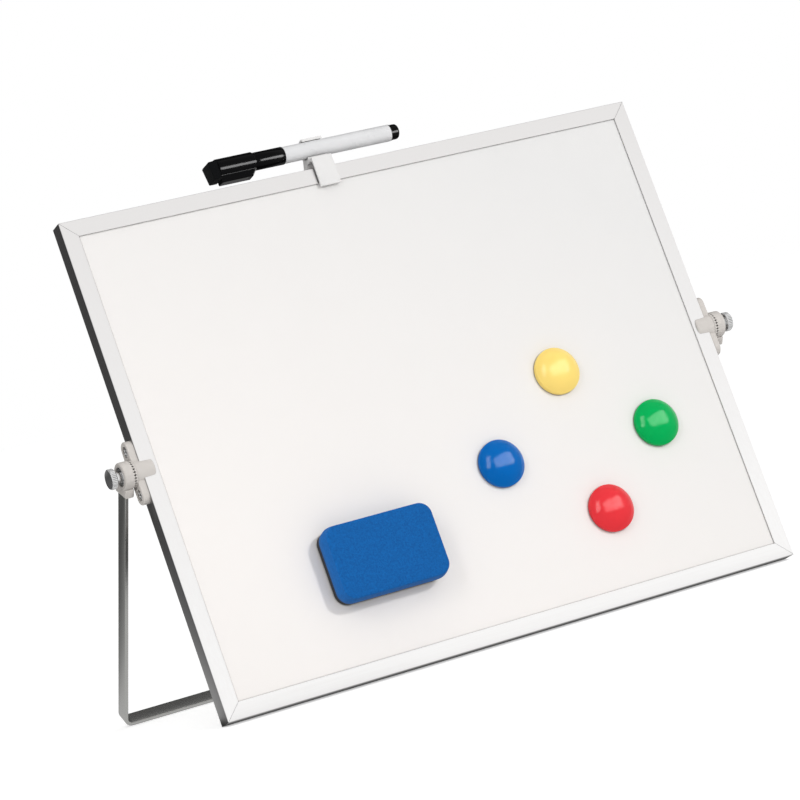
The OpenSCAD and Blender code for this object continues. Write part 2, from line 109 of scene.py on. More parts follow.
def arc(centre, radius, start, end, steps=8):
    """Points on a circle: the centre plus the radius times cosine and sine of an even run of angles."""
    a = np.radians(np.linspace(start, end, steps + 1))
    return np.asarray(centre) + radius * np.stack([np.cos(a), np.sin(a)], 1)


def rounded(corners, steps=4, closed=True):
    """A polygon of (x, y, radius) corners, each corner replaced by the arc that touches both its sides.

    The arc swings from one touching point to the other about the centre that lies on the corner's
    bisector, as a spherical blend of the two spokes.
    """
    corners = np.asarray(corners, float)
    points, radii = corners[:, :2], corners[:, 2]
    made = []
    for i, p in enumerate(points):
        end = not closed and i in (0, len(points) - 1)
        if end or radii[i] <= 0:
            made.append(p[None])
            continue
        a, b = unit(points[i - 1] - p), unit(points[(i + 1) % len(points)] - p)
        half = math.acos(np.clip(a @ b, -1, 1)) / 2
        centre = p + unit(a + b) * radii[i] / math.sin(half)
        reach = radii[i] / math.tan(half)
        spokes = p + a * reach - centre, p + b * reach - centre
        swing = math.pi - 2 * half
        t = np.linspace(0, 1, steps + 1)[:, None]
        made.append(centre + (np.sin((1 - t) * swing) * spokes[0] + np.sin(t * swing) * spokes[1])
                    / math.sin(swing))
    return np.concatenate(made)


def outward_normals(outline):
    """Unit normals of a closed flat outline: the chord between a point's neighbours, turned square."""
    chord = np.roll(outline, -1, 0) - np.roll(outline, 1, 0)
    normal = np.stack([chord[:, 1], -chord[:, 0]], 1)
    area = np.sum(outline[:, 0] * np.roll(outline[:, 1], -1) - outline[:, 1] * np.roll(outline[:, 0], -1))
    return np.sign(area) * normal / np.maximum(np.linalg.norm(normal, axis=1, keepdims=True), 1e-9)


def shell(rings, looped=False):
    """Points and faces of a closed shell: quads between each ring and the next, and a face on each end.

    A looped shell joins its last ring to its first. The faces are turned to point outwards where the
    sum of the signed volumes under them comes out negative.
    """
    rows, cols = rings.shape[:2]
    index = np.arange(rows * cols).reshape(rows, cols)
    if looped:
        index = np.concatenate([index, index[:1]])
    onward = np.roll(index, -1, 1)
    quads = np.stack([index[:-1], onward[:-1], onward[1:], index[1:]], -1).reshape(-1, 4)
    points = rings.reshape(-1, 3)
    a, b, c, d = (points[quads[:, k]] for k in range(4))
    volume = np.sum(a * np.cross(b, c)) + np.sum(a * np.cross(c, d))
    faces = quads.tolist()
    if not looped:
        for cap in (index[0][::-1], index[-1]):
            ring = points[cap]
            volume += np.sum(ring[0] * np.cross(ring[1:-1], ring[2:]))
            faces.append(cap.tolist())
    if volume < 0:
        faces = [face[::-1] for face in faces]
    return points, faces


def turned(profile, where, steps=96, looped=False, shape=None):
    """A lathe shape about the local X axis from (radius, distance) points.

    Each ring's point lies at the distance along X, and at the radius times cosine and sine of the
    turn. A shape function may change radius and distance with the turn.
    """
    profile = np.asarray(profile, float)
    turn = np.arange(steps) * FULL_TURN / steps
    radius = np.repeat(profile[:, :1], steps, 1)
    along = np.repeat(profile[:, 1:], steps, 1)
    if shape is not None:
        radius, along = shape(radius, along, turn)
    rings = np.stack([along, radius * np.cos(turn), radius * np.sin(turn)], -1)
    return shell(placed(rings, where), looped)


def polar_ring(along, radius, turn):
    """One ring of a shell about the local X axis, its radius given for each turn."""
    return np.stack([np.full(len(turn), float(along)), radius * np.cos(turn), radius * np.sin(turn)], -1)


def slab(outline, low, high, edge, where, lift, steps=4):
    """A flat outline carried from low to high, its rims rounded by drawing the outline in.

    Near each end the outline moves in by edge times one minus the sine of a quarter turn while the
    height moves by edge times one minus its cosine. lift turns outline and height into local points.
    """
    turn = np.linspace(0, math.pi / 2, steps + 1)
    drawn_in = edge * (1 - np.sin(turn))
    rise = edge * (1 - np.cos(turn))
    inset = np.concatenate([drawn_in, drawn_in[::-1]])
    height = np.concatenate([low + rise, high - rise[::-1]])
    normals = outward_normals(outline)
    rings = outline[None] - normals[None] * inset[:, None, None]
    return shell(placed(lift(rings, np.broadcast_to(height[:, None], rings.shape[:2])), where))


def depth_and_height(rings, across):
    """Outlines drawn in depth and height, carried across the board."""
    return np.stack([across, rings[..., 0], rings[..., 1]], -1)


def across_and_height(rings, depth):
    """Outlines drawn across and up the board, carried through its depth."""
    return np.stack([rings[..., 0], depth, rings[..., 1]], -1)


def round_block(low, high, radius, where, steps=5, slant=0):
    """A box with round edges: a ball's surface pulled apart at its three middle planes.

    Each point is the ball's normal times the radius, plus the box's inner half size with the sign
    of the normal. The lower front edge may be lifted by a slant.
    """
    low, high = np.asarray(low, float), np.asarray(high, float)
    quarter = np.linspace(0, math.pi / 2, steps + 1)
    turn = np.concatenate([quarter + k * math.pi / 2 for k in range(4)])
    sign_a = np.repeat([1, -1, -1, 1], steps + 1)
    sign_b = np.repeat([1, 1, -1, -1], steps + 1)
    tilt = np.concatenate([quarter - math.pi / 2, quarter])
    sign_c = np.repeat([-1, 1], steps + 1)
    inner = (high - low) / 2 - radius
    flat = np.cos(tilt)[:, None]
    x = radius * flat * np.cos(turn) + inner[0] * sign_a
    y = radius * flat * np.sin(turn) + inner[1] * sign_b
    z = (radius * np.sin(tilt) + inner[2] * sign_c)[:, None] + 0 * x
    z = z + slant * (sign_b < 0) * (sign_c < 0)[:, None]
    rings = np.stack([x, y, z], -1) + (low + high) / 2
    return shell(placed(rings, where))


# Pieces

def piece(name, shells, finish, body, replaced=(), crease=38):
    """One object from one or more closed shells, smooth but for creases sharper than an angle."""
    points, faces, start = [], [], 0
    for shell_points, shell_faces in shells:
        points.append(shell_points)
        faces += [[i + start for i in face] for face in shell_faces]
        start += len(shell_points)
    mesh = bpy.data.meshes.new(name)
    mesh.from_pydata(np.concatenate(points) * MM, [], faces)
    mesh.shade_smooth()
    mesh.set_sharp_from_angle(angle=math.radians(crease))
    mesh.materials.append(finish)
    obj = bpy.data.objects.new(name, mesh)
    bpy.context.scene.collection.objects.link(obj)
    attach(obj, body)
    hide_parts(*replaced)
    return obj


# Shader groups and materials

def paint(red, green, blue):
    """A colour given as it looks on a screen, 0 to 255, turned into linear light."""
    srgb = np.array([red, green, blue]) / 255
    linear = np.where(srgb <= 0.04045, srgb / 12.92, ((srgb + 0.055) / 1.055) ** 2.4)
    return (*linear.tolist(), 1)


def new_group(name, inputs, outputs):
    """An empty shader group with named sockets: (name, kind, first value) for each input."""
    group = bpy.data.node_groups.new(name, "ShaderNodeTree")
    for socket, kind, value in inputs:
        made = group.interface.new_socket(socket, in_out="INPUT", socket_type="NodeSocket" + kind)
        if value is not None:
            made.default_value = value
    for socket, kind in outputs:
        group.interface.new_socket(socket, in_out="OUTPUT", socket_type="NodeSocket" + kind)
    return group, group.nodes.new("NodeGroupInput"), group.nodes.new("NodeGroupOutput")


def add_node(tree, kind, values=None, **settings):
    """A shader node with its settings, its inputs given as numbers or as sockets to link from."""
    node = tree.nodes.new("ShaderNode" + kind)
    for key, value in settings.items():
        setattr(node, key, value)
    for key, value in (values or {}).items():
        if isinstance(value, bpy.types.NodeSocket):
            tree.links.new(value, node.inputs[key])
        else:
            node.inputs[key].default_value = value
    return node


def mix_colour(tree, share, first, second):
    """The mixed colour's socket: first where the share is 0, second where it is 1."""
    node = add_node(tree, "Mix", data_type="RGBA")
    for socket, value in ((node.inputs[0], share), (node.inputs[6], first), (node.inputs[7], second)):
        if isinstance(value, bpy.types.NodeSocket):
            tree.links.new(value, socket)
        else:
            socket.default_value = value
    return node.outputs[2]


def moulding_group():
    """Fine skin of a moulded part: cloudy shade and grain, both from noise."""
    group, into, out = new_group(
        "moulded_skin",
        [("Place", "Vector", None), ("Cloud scale", "Float", 90.0), ("Grain scale", "Float", 2500.0)],
        [("Shade", "Float"), ("Height", "Float")])
    cloud = add_node(group, "TexNoise", {"Vector": into.outputs[0], "Scale": into.outputs[1], "Detail": 3.0})
    grain = add_node(group, "TexNoise", {"Vector": into.outputs[0], "Scale": into.outputs[2], "Detail": 2.0})
    group.links.new(cloud.outputs["Fac"], out.inputs["Shade"])
    group.links.new(grain.outputs["Fac"], out.inputs["Height"])
    return group


def streak_group():
    """Drawing lines of a metal profile: noise squeezed across the lines and stretched along them."""
    group, into, out = new_group(
        "drawing_lines",
        [("Place", "Vector", None), ("Stretch", "Vector", (1.0, 1.0, 1.0)), ("Scale", "Float", 900.0)],
        [("Shade", "Float"), ("Height", "Float")])
    stretched = add_node(group, "VectorMath", operation="MULTIPLY")
    group.links.new(into.outputs[0], stretched.inputs[0])
    group.links.new(into.outputs[1], stretched.inputs[1])
    lines = add_node(group, "TexNoise", {"Vector": stretched.outputs[0], "Scale": into.outputs[2],
                                         "Detail": 4.0, "Roughness": 0.65})
    broad = add_node(group, "TexNoise", {"Vector": stretched.outputs[0], "Scale": 60.0, "Detail": 1.0})
    group.links.new(lines.outputs["Fac"], out.inputs["Height"])
    group.links.new(broad.outputs["Fac"], out.inputs["Shade"])
    return group


def painted_seam_shade_group():
    """Painted shade in seams: a colour darkened where nearby surfaces close the sky."""
    group, into, out = new_group(
        "painted_seam_shade",
        [("Colour", "Color", None), ("Reach", "Float", 0.001), ("Depth", "Float", 0.5)],
        [("Colour", "Color")])
    closed = add_node(group, "AmbientOcclusion", {"Distance": into.outputs[1]}, samples=8)
    share = add_node(group, "Math", {0: 1.0}, operation="SUBTRACT")
    group.links.new(closed.outputs["AO"], share.inputs[1])
    depth = add_node(group, "Math", {0: share.outputs[0], 1: into.outputs[2]}, operation="MULTIPLY",
                     use_clamp=True)
    dark = mix_colour(group, depth.outputs[0], into.outputs[0], (0.01, 0.01, 0.01, 1))
    group.links.new(dark, out.inputs["Colour"])
    return group


MOULDED = moulding_group()
STREAKS = streak_group()
PAINTED_SEAM_SHADE = painted_seam_shade_group()


def add_group(tree, group, values):
    """A shader group placed in a tree, its named sockets given as numbers or as sockets."""
    return add_node(tree, "Group", values, node_tree=group)


def start_finish(name, **sockets):
    """A new material with its plain numbers set on the shader, and the Object coordinates."""
    material = bpy.data.materials.new(name)
    material.use_nodes = True
    tree = material.node_tree
    shader = tree.nodes["Principled BSDF"]
    for key, value in sockets.items():
        shader.inputs[key.replace("_", " ")].default_value = value
    place = add_node(tree, "TexCoord").outputs["Object"]
    return material, tree, shader, place


def mottled(tree, share, colour, mottle):
    """The colour made a little darker where the share is 0 and lighter where it is 1."""
    light = tuple(min(1.0, c * (1 + mottle)) for c in colour[:3]) + (1,)
    dark = tuple(c * (1 - mottle) for c in colour[:3]) + (1,)
    return mix_colour(tree, share, dark, light)


def set_roughness(tree, shader, fac, low, high):
    """A roughness that runs from low to high with a noise."""
    spread = add_node(tree, "MapRange", {"Value": fac, "To Min": low, "To Max": high})
    tree.links.new(spread.outputs["Result"], shader.inputs["Roughness"])


def set_bump(tree, shader, height, distance, strength=0.5):
    """A relief of the given depth, in metres."""
    bump = add_node(tree, "Bump", {"Strength": strength, "Distance": distance, "Height": height})
    tree.links.new(bump.outputs["Normal"], shader.inputs["Normal"])


def set_colour(tree, shader, colour, reach, depth):
    """The base colour, with painted shade darkening its seams up to a reach in millimetres."""
    seam_shaded = add_group(tree, PAINTED_SEAM_SHADE, {"Colour": colour, "Reach": reach * MM, "Depth": depth})
    tree.links.new(seam_shaded.outputs["Colour"], shader.inputs["Base Color"])


def plastic(name, colour, roughness, specular=0.5, grain=0.02, mottle=0.06, coat=0.0, reach=0.8, depth=0.55):
    """A moulded plastic: cloudy colour, fine grain and painted shade in its seams."""
    material, tree, shader, place = start_finish(
        name, Specular_IOR_Level=specular, Coat_Weight=coat, Coat_Roughness=0.04)
    skin = add_group(tree, MOULDED, {"Place": place})
    set_colour(tree, shader, mottled(tree, skin.outputs["Shade"], colour, mottle), reach, depth)
    set_roughness(tree, shader, skin.outputs["Shade"], roughness * 0.85, roughness * 1.15)
    set_bump(tree, shader, skin.outputs["Height"], grain * MM)
    return material


def metal(name, colour, roughness, stretch, scale=900.0, lines=0.01, mottle=0.05, reach=0.8, depth=0.6,
          upper_painted_shade=None, side=None):
    """A drawn or turned metal: streaks along its length in colour, roughness and height.

    Painted shade: a second colour takes over evenly up to the top of the board. A side gives the place across the
    board past which the metal is painted nearly black, a painted dark reflection. Its seams get painted shade as
    well.
    """
    material, tree, shader, place = start_finish(name, Metallic=1.0)
    streaks = add_group(tree, STREAKS, {"Place": place, "Stretch": stretch, "Scale": scale})
    tone = mottled(tree, streaks.outputs["Height"], colour, mottle)
    apart = add_node(tree, "SeparateXYZ", {0: place})
    if upper_painted_shade is not None:
        # Painted shade: darker up to the top of the board.
        rise = add_node(tree, "MapRange", {"Value": apart.outputs["Z"], "From Min": 0.03, "From Max": 0.28})
        tone = mix_colour(tree, rise.outputs["Result"], tone, upper_painted_shade)
    if side is not None:
        # Painted dark reflection: past the side the colour is mixed most of the way to black.
        painted_side_dark = add_node(tree, "MapRange", {"Value": apart.outputs["X"], "From Min": side[0] * MM,
                                             "From Max": side[1] * MM, "To Max": 0.62})
        tone = mix_colour(tree, painted_side_dark.outputs["Result"], tone, (0.02, 0.02, 0.02, 1))
    set_colour(tree, shader, tone, reach, depth)
    set_roughness(tree, shader, streaks.outputs["Shade"], roughness * 0.85, roughness * 1.15)
    set_bump(tree, shader, streaks.outputs["Height"], lines * MM)
    return material


def enamel(name, lit_warm, shaded_cool):
    """Writing enamel: a hard gloss with a faint orange peel and wiped patches in its roughness.

    Painted shade: the white darkens and cools evenly from the sheet's lower left to its upper right.
    """
    material, tree, shader, place = start_finish(name, Specular_IOR_Level=0.5)
    skin = add_group(tree, MOULDED, {"Place": place, "Cloud scale": 14.0, "Grain scale": 420.0})
    apart = add_node(tree, "SeparateXYZ", {0: place})
    # Painted shade across the sheet: darker and cooler towards its upper right.
    corner = add_node(tree, "Math", {0: apart.outputs["Z"], 1: 1.6, 2: apart.outputs["X"]},
                      operation="MULTIPLY_ADD")
    across = add_node(tree, "MapRange", {"Value": corner.outputs[0], "From Min": 0.0, "From Max": 0.5})
    white = mix_colour(tree, across.outputs["Result"], lit_warm, shaded_cool)
    wiped = add_node(tree, "MapRange", {"Value": skin.outputs["Shade"], "To Min": 0.0, "To Max": 0.02})
    tone = mix_colour(tree, wiped.outputs["Result"], white, (0.5, 0.5, 0.5, 1))
    set_colour(tree, shader, tone, 0.9, 0.85)
    set_roughness(tree, shader, skin.outputs["Shade"], 0.16, 0.3)
    set_bump(tree, shader, skin.outputs["Height"], 0.004 * MM)
    return material


def foam(name, colour, pit_colour):
    """Cut closed-cell foam: cells from a Voronoi pattern, with darker and lighter flecks from noise."""
    material, tree, shader, place = start_finish(name, Specular_IOR_Level=0.12, Sheen_Weight=0.04)
    cells = add_node(tree, "TexVoronoi", {"Vector": place, "Scale": 1500.0}, feature="F1")
    flecks = add_node(tree, "TexNoise", {"Vector": place, "Scale": 900.0, "Detail": 4.0, "Roughness": 0.7})
    shade = add_node(tree, "MapRange", {"Value": flecks.outputs["Fac"], "From Min": 0.35, "From Max": 0.68})
    tone = mix_colour(tree, shade.outputs["Result"], pit_colour, colour)
    set_colour(tree, shader, tone, 1.0, 0.4)
    set_roughness(tree, shader, flecks.outputs["Fac"], 0.75, 0.95)
    set_bump(tree, shader, cells.outputs["Distance"], 0.12 * MM, 0.6)
    return material


def felt(name, colour, fibre_colour, sheen=0.2):
    """Pressed felt: fine crossing fibres from strongly distorted noise."""
    material, tree, shader, place = start_finish(name, Specular_IOR_Level=0.1, Sheen_Weight=sheen)
    fibres = add_node(tree, "TexNoise", {"Vector": place, "Scale": 1300.0, "Detail": 5.0, "Distortion": 2.5})
    tone = mix_colour(tree, fibres.outputs["Fac"], colour, fibre_colour)
    set_colour(tree, shader, tone, 1.0, 0.4)
    set_roughness(tree, shader, fibres.outputs["Fac"], 0.85, 1.0)
    set_bump(tree, shader, fibres.outputs["Fac"], 0.15 * MM, 0.7)
    return material


# Each finish darkens its seams with painted shade, as far and as dark as its reach and depth.
ALUMINIUM = paint(252, 250, 249)
# Painted shade: the darker aluminium colour that takes over up to the top of the board.
PAINTED_SHADE_ALUMINIUM = paint(233, 231, 230)
LEFT_SIDE = extent("left_rail", board_spot)[0][0]
along_board = (0.02, 1.0, 1.0)
along_rise = (1.0, 1.0, 0.02)
aluminium_flat = metal("satin_aluminium_lengthwise", ALUMINIUM, 0.3, along_board, upper_painted_shade=PAINTED_SHADE_ALUMINIUM)
# Painted dark reflection on the left rail's outer face alone.
aluminium_upright = metal("satin_aluminium_upright", ALUMINIUM, 0.3, along_rise, upper_painted_shade=PAINTED_SHADE_ALUMINIUM,
                          side=(LEFT_SIDE + 0.3, LEFT_SIDE + 0.1))
strip_steel = metal("plated_strip", paint(205, 205, 202), 0.22, (0.05, 0.05, 0.05), 2400.0, 0.001, 0.03,
                    depth=0.3)
plated = metal("nickel_plate", paint(222, 222, 222), 0.16, (1.0, 1.0, 1.0), 1500.0, 0.004)
brass = metal("turned_brass", paint(205, 170, 95), 0.3, (1.0, 1.0, 1.0))
# Painted shade: the sheet's white goes from the lighter colour at its lower left to the darker, cooler one at its
# upper right.
white_enamel = enamel("white_writing_enamel", paint(237, 233, 230), paint(220, 219, 218))
hinge_plastic = plastic("warm_grey_moulding", paint(199, 194, 189), 0.42, reach=1.2, depth=0.5)
clip_plastic = plastic("white_clip_moulding", paint(220, 219, 218), 0.34, mottle=0.02, reach=1.8, depth=0.9)
barrel_plastic = plastic("white_barrel_moulding", paint(214, 214, 215), 0.28, coat=0.1)
black_plastic = plastic("black_gloss_moulding", paint(6, 6, 7), 0.14, 0.05, grain=0.002)
foot_plastic = plastic("black_gloss_foot", paint(9, 9, 10), 0.12, 0.6, grain=0.002)
key_plastic = plastic("black_nylon", paint(42, 42, 42), 0.6)
blue_foam = foam("speckled_blue_foam", paint(20, 97, 169), paint(16, 80, 143))
black_felt = felt("black_pressed_felt", paint(14, 14, 15), paint(38, 40, 42))
wiper_felt = felt("black_wiper_felt", paint(5, 5, 6), paint(15, 16, 17), sheen=0.03)
ink_felt = felt("ink_soaked_fibre", paint(10, 10, 12), paint(26, 26, 30))
ferrite = plastic("sintered_ferrite", paint(52, 51, 50), 0.7, grain=0.05, mottle=0.2)
magnet_sheet = plastic("magnetic_rubber", paint(40, 38, 36), 0.8, grain=0.05)
fibreboard = felt("raw_fibreboard", paint(160, 128, 92), paint(196, 164, 122))
magnet_colours = {
    "yellow": paint(247, 216, 120), "green": paint(0, 170, 85),
    "blue": paint(0, 98, 177), "red": paint(226, 54, 61)}


# Frame rails

rail_low, rail_high = extent("top_rail", board_spot)
board_w = rail_high[0] - rail_low[0]
board_top = rail_high[2]
board_h = 2 * board_top
half_t = rail_high[1]
rail_face = rail_high[2] - rail_low[2]
rail_wall = 1.0
rib_depth = 5.0
mitre_line = 0.2
edge_round = 0.3
lip_round = 0.3


def rail_section():
    """The extrusion's outline in depth and distance in: a channel open towards the panel."""
    t, w, f, rib = half_t, rail_wall, rail_face, rib_depth
    return rounded([
        (-t, 0, edge_round), (t, 0, edge_round), (t, f, lip_round), (t - w, f, lip_round),
        (t - w, rib, 0), (w - t, rib, 0), (w - t, f, lip_round), (-t, f, lip_round)])


def rail(node, length, direction, middle, finish):
    """One rail: the section carried lengthwise, its ends cut back by the distance in from the outside."""
    section = rail_section()
    depth, inward = section[:, 0], section[:, 1]
    reach = length / 2 - mitre_line / 2 - inward
    ends = [np.stack([s * reach, depth, -inward], 1) for s in (-1, 1)]
    origin, axes = board_spot
    outside = np.cross(direction @ axes, np.array([0, 1, 0]) @ axes)
    where = placed(middle, board_spot), np.array([direction @ axes, axes[1], outside])
    return piece(f"{node}_profile", [shell(placed(np.stack(ends), where))], finish, "board",
                 [node])


rail("top_rail", board_w, X, (0, 0, board_top), aluminium_flat)
rail("bottom_rail", board_w, -X, (0, 0, -board_top), aluminium_flat)
rail("left_rail", board_h, Z, (-board_w / 2, 0, 0), aluminium_upright)
rail("right_rail", board_h, -Z, (board_w / 2, 0, 0), aluminium_upright)


# Stand: a flat strip bent to a U

strip_low, strip_high = extent("stand_strip", stand_spot)
strip_t = 2.0
strip_w = strip_high[1] - strip_low[1]
bend_r = 5.0
screw_hole = 2.06
front_edge = 0.3
back_edge = 0.15


def strip_path(steps=16):
    """Centre line and outward normals of half the U: down the leg, round a quarter bend, to the middle."""
    side, foot = strip_high[0], strip_low[2]
    mid = bend_r - strip_t / 2
    turn = np.linspace(0, math.pi / 2, steps + 1)
    bend = np.stack([side - bend_r + mid * np.cos(turn), foot + bend_r - mid * np.sin(turn)], 1)
    out = np.stack([np.cos(turn), -np.sin(turn)], 1)
    top = np.array([[side - strip_t / 2, 0.0]])
    middle = np.array([[0.0, foot + strip_t / 2]])
    return np.concatenate([top, bend, middle]), np.concatenate([out[:1], out, out[-1:]])


def strip_shells():
    """The strip's rounded section carried along the U, and a round eye at each end.

    Each ring is the path's point plus the section's thickness times the normal and its width along
    the depth. The first and last rings are curved to meet the eyes.
    """
    half, normal = strip_path()
    path = np.concatenate([half, half[-2::-1] * [-1, 1]])
    out = np.concatenate([normal, normal[-2::-1] * [-1, 1]])
    t, w = strip_t / 2, strip_w / 2
    section = rounded([(t, -w, front_edge), (t, w, back_edge), (-t, w, back_edge), (-t, -w, front_edge)])
    flat = path[:, None] + out[:, None] * section[None, :, :1]
    width = np.broadcast_to(section[None, :, 1], flat.shape[:2])
    rings = np.stack([flat[..., 0], width, flat[..., 1]], -1)
    curve = -np.sqrt(np.maximum(w * w - section[:, 1] ** 2, 0))
    rings[0, :, 2] = rings[-1, :, 2] = curve
    shells = [shell(placed(rings, stand_spot))]
    eye = rounded([(screw_hole, -t, 0), (w, -t, 0.4), (w, t, 0.4), (screw_hole, t, 0)])
    for side in (-1, 1):
        where = sided(stand_spot, side, strip_high[0] - t)
        shells.append(turned(eye, where, looped=True))
    return shells


piece("bent_strip", strip_shells(), strip_steel, "stand", ["stand_strip"])


# Hinges

tooth_n = 28
tooth_depth = 0.9
groove_half = 0.5
tip_gap = 0.06
rest_turn = -math.acos(board_spot[1][2] @ stand_spot[1][2])
barrel_low, barrel_high = extent("right_pivot_body", sided(board_spot, 1, board_w / 2))
knuckle_low, knuckle_high = extent("right_knuckle", sided(stand_spot, 1, board_w / 2))
plate_reach = barrel_high[2]
plate_half = 4.5
plate_t = 4.0
plate_round = 0.6
screw_pitch = 24.0
well_r = 3.1
well_floor = plate_t - 1.6
hub_r = 4.2
hub_floor = barrel_high[0] - 1.0
flange_r = 7.3
flange_t = 1.5
barrel_r = 6.9
barrel_nose = -barrel_low[0]
nose_round = 1.5
boss_r = 7.5
block_half = 6.3
recess_r = 5.1
recess_floor = knuckle_high[0] - 1.1
knurl_n = 36
SIDE_WORDS = {-1: "left", 1: "right"}


def toothed(tips, towards, phase=0.0):
    """Cuts the ring of teeth into a lathe shape where its face lies within 0.3 mm of the tips.

    A groove is a V as deep as the teeth, measured across the nearest of the evenly turned groove
    lines: the depth falls evenly with the radius times the sine of the angle from the line. The
    phase turns the whole ring, so that both rings of a hinge line up as the easel stands.
    """
    def shape(radius, along, turn):
        pitch = FULL_TURN / tooth_n
        off = ((turn - phase) / pitch) % 1 - 0.5
        aside = np.abs(radius * np.sin(off * pitch))
        cut = tooth_depth * np.clip(1 - aside / groove_half, 0, 1)
        below = (tips - along) * towards
        return radius, np.where(below < 0.3, tips - towards * np.maximum(below, cut), along)
    return shape


def face_rings(inner, outer, at, count=7):
    """Profile points across a flat face, close enough for teeth to be cut into it."""
    return [(r, at) for r in np.linspace(inner, outer, count)]


def barrel_shells(side):
    """The pivot's barrel outside the frame, and the two cheeks that grip its front and back."""
    where = sided(board_spot, side, board_w / 2)
    tips = knuckle_low[0] - tip_gap
    shoulder = tips - flange_t
    profile = [(POLE, hub_floor), (hub_r, hub_floor)] + face_rings(hub_r, flange_r - 0.15, tips)
    profile += [(flange_r, tips - 0.15), (flange_r, shoulder + 0.3), (barrel_r, shoulder), (barrel_r, 0),
                (POLE, 0)]
    shells = [turned(profile, where, tooth_n * 12, shape=toothed(tips, 1))]
    nose = arc((barrel_r - 0.2 - nose_round, nose_round - barrel_nose), nose_round, -88, 0, 6)
    stations = np.concatenate([nose, [[barrel_r, 0.0]]])
    grip = half_t + 0.05
    t = np.linspace(-1, 1, 33)
    for face in (-1, 1):
        radius, along = stations[:, :1], stations[:, 1:]
        half = np.arccos(np.clip(grip / np.maximum(radius, grip + 0.01), -1, 1))
        angle = half * t
        depth = face * np.maximum(radius, grip + 0.01) * np.cos(angle)
        rise = np.maximum(radius, grip + 0.01) * np.sin(angle)
        rings = np.stack([np.broadcast_to(along, angle.shape), depth, rise], -1)
        shells.append(shell(placed(rings, where)))
    return shells


def ear_shell(side, end):
    """Half the pivot plate: rings about its screw, from the well's floor out to the plate's edge.

    The outer rings follow the plate's outline as a distance from the screw: a half circle on the far
    side, and on the near side the straight sides out to the barrel.
    """
    where = shifted(sided(board_spot, side, board_w / 2), (0, 0, end * screw_pitch / 2))
    steps = 128
    turn = np.arange(steps) * FULL_TURN / steps
    away, aside = np.sin(turn) * end, np.abs(np.cos(turn))
    centre = plate_reach - plate_half - screw_pitch / 2
    far = centre * away + np.sqrt(np.maximum(plate_half ** 2 - (centre * np.cos(turn)) ** 2, 0))
    straight = plate_half / np.maximum(aside, 1e-6)
    inwards = screw_pitch / 2 / np.maximum(-away, 1e-6)
    limit = np.where(away * straight > centre, far, np.minimum(straight, inwards))

    rings = [(POLE, well_floor), (well_r - 0.1, well_floor), (well_r, well_floor + 0.15)]
    rings += [(well_r, plate_t - 0.2), (well_r + 0.2, plate_t)]
    rings += [(limit - plate_round * (1 - math.sin(a)), plate_t - plate_round * (1 - math.cos(a)))
              for a in np.linspace(0, math.pi / 2, 5)]
    rings += [(limit, 0), (POLE, 0)]
    return shell(placed(np.stack([polar_ring(along, radius, turn) for radius, along in rings]), where))


def knuckle_shells(side):
    """The stand's knuckle: a boss with teeth inside and a washer recess outside, over a strip socket."""
    where = sided(stand_spot, side, board_w / 2)
    inner, outer = knuckle_low[0], knuckle_high[0]
    profile = [(screw_hole, recess_floor - 2.5), (screw_hole, inner + 1.0), (hub_r, inner + 1.0)]
    profile += face_rings(hub_r, boss_r - 0.35, inner)
    profile += [(boss_r - 0.15, inner + 0.2), (boss_r, inner + tooth_depth)]
    profile += arc((boss_r - 1, outer - 1), 1, 0, 90, 6).tolist()
    profile += [(recess_r + 0.15, outer), (recess_r, outer - 0.15), (recess_r, recess_floor - 2.0)]
    profile += [(screw_hole, recess_floor - 2.0)]
    boss = turned(profile, where, tooth_n * 12, looped=True, shape=toothed(inner, -1, rest_turn))
    low = (inner + 0.35, max(knuckle_low[1], -block_half), knuckle_low[2])
    block = round_block(low, (outer - 0.35, block_half, -recess_r), 1.0, where, slant=1.4)
    return [boss, block]


def cross_head_shell(where):
    """A pan head with a cross recess: a dome less a cross that fades out towards its ends."""
    low, top, radius = well_floor, well_floor + 1.3, 2.6
    profile = [(0.02, top), (0.3, top), (0.6, top), (0.9, top), (1.2, top), (1.5, top), (1.8, top)]
    profile += arc((radius - 0.8, top - 0.8), 0.8, 90, 0, 5).tolist() + [(radius, low), (1.3, low)]
    profile += [(1.3, 0.3), (0.02, 0.2)]

    def shape(r, along, turn):
        quarter = (turn + 0.35) % (math.pi / 2) - math.pi / 4
        aside = r * np.minimum(np.abs(np.sin(quarter + math.pi / 4)),
                               np.abs(np.cos(quarter + math.pi / 4)))
        cut = 0.8 * np.clip((0.42 - aside) / 0.14, 0, 1) * np.clip((1.65 - r) / 0.3, 0, 1)
        return r, along - cut * (along > top - 0.05)
    return turned(profile, where, 144, shape=shape)


